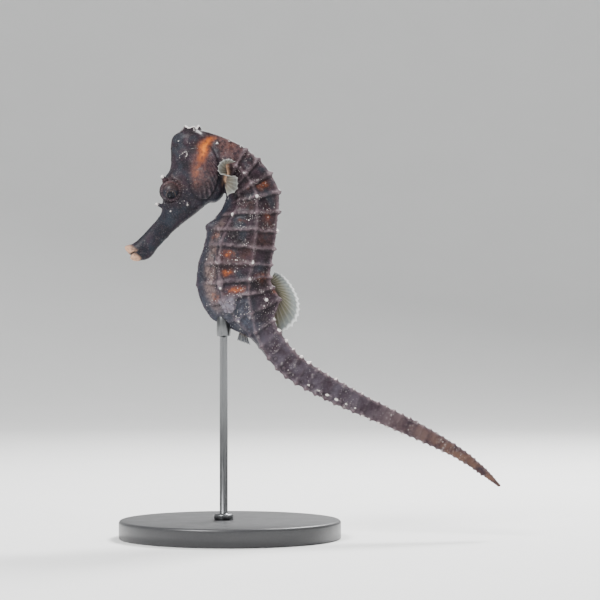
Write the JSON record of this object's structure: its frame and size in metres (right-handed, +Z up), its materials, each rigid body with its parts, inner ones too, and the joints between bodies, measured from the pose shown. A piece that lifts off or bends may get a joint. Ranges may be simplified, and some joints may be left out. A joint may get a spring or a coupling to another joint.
{
  "type": "seahorse",
  "caption": "Seahorse swimming upright with its tail held out straight, as a life-size display model on a round base with a thin rod.",
  "frame": {"origin": "middle of the stand's underside, in the animal's middle plane", "axes": "+Z up, -X the way the animal faces, -Y to the animal's left side"},
  "size_m": [0.1032, 0.06, 0.1116],
  "materials": {
    "skin": "moist dark purple-brown skin with paler ridges and an orange patch on the head",
    "eyes": "glossy, dark with a red-brown upper iris",
    "fins": "thin, pale grey and slightly see-through, with fine rays",
    "base": "satin black paint",
    "rod": "fine brushed steel"
  },
  "bodies": {
    "root": {"trunk_upper": "skin", "trunk_lower": "skin", "tail_1": "skin", "tail_2": "skin", "tail_3": "skin", "tail_4": "skin", "head": "skin", "coronet": "skin", "neck": "skin", "snout": "skin", "eye_left": "eyes", "eye_right": "eyes", "pectoral_fin_left": "fins", "pectoral_fin_right": "fins", "dorsal_fin": "fins", "anal_fin": "fins", "stand_base": "base", "stand_rod": "rod"}
  },
  "joints": []
}
